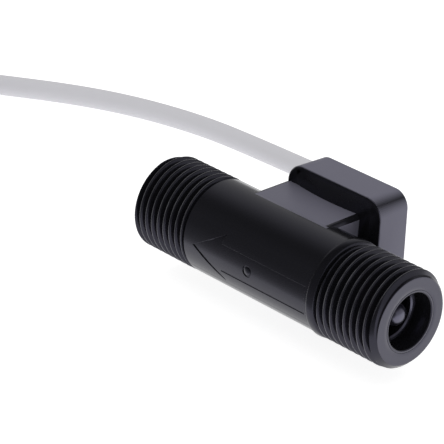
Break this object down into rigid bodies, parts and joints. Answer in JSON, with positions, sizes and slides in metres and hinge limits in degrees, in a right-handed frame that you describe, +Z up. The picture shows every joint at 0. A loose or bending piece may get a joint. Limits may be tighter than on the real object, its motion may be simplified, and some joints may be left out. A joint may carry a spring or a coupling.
{
  "type": "turbine flow sensor",
  "caption": "In-line turbine flow sensor: threaded tube with a vaned straightener, a helical rotor with a ring magnet, a rear Hall pick-up box and a cable.",
  "frame": {"origin": "on the flow tube's axis, at the collar's shoulder where a fitting screwed on the inlet stops", "axes": "+X along the tube towards the inlet, +Y towards the pick-up housing and cable, +Z up"},
  "size_m": [0.2083, 0.112, 0.0291],
  "materials": {
    "tube_black": "satin",
    "housing_black": "satin",
    "cover_black": "matte",
    "seal_rubber": "matte",
    "board_green": "semi-gloss",
    "chip_black": "matte",
    "tinned_metal": "satin",
    "capacitor_tan": "satin",
    "core_insulation": "satin",
    "cartridge_black": "semi-gloss",
    "bearing_carbon": "matte",
    "ceramic_white": "polished",
    "rotor_white": "satin",
    "magnet_grey": "ground",
    "shaft_steel": "ground",
    "relief_black": "matte",
    "cable_grey": "satin",
    "tie_black": "matte"
  },
  "bodies": {
    "housing": {"flow_tube": "tube_black", "sensor_housing": "housing_black", "rear_cover": "cover_black", "cover_seal": "seal_rubber", "circuit_board": "board_green", "hall_sensor": "chip_black", "hall_legs": "tinned_metal", "chip_resistors": "chip_black", "chip_capacitors": "capacitor_tan", "surge_diode": "chip_black", "solder_joints": "tinned_metal", "inner_cores": "core_insulation", "flow_straightener": "cartridge_black", "outlet_carrier": "cartridge_black", "spacer_sleeve": "cartridge_black", "retaining_ring": "cartridge_black", "inlet_bearing": "bearing_carbon", "outlet_bearing": "bearing_carbon", "inlet_thrust_stone": "ceramic_white", "outlet_thrust_stone": "ceramic_white", "strain_relief": "relief_black", "cable_lead": "cable_grey", "cable_coil": "cable_grey", "cable_tail": "cable_grey", "coil_tie": "tie_black", "end_cores": "core_insulation", "core_tips": "tinned_metal"},
    "rotor": {"turbine_rotor": "rotor_white", "rotor_magnet": "magnet_grey", "rotor_shaft": "shaft_steel"}
  },
  "joints": [
    {"name": "rotor_spin", "type": "hinge", "parent": "housing", "child": "rotor", "pos_m": [-0.0203, 0, 0], "axis": [1, 0, 0], "continuous": true}
  ]
}
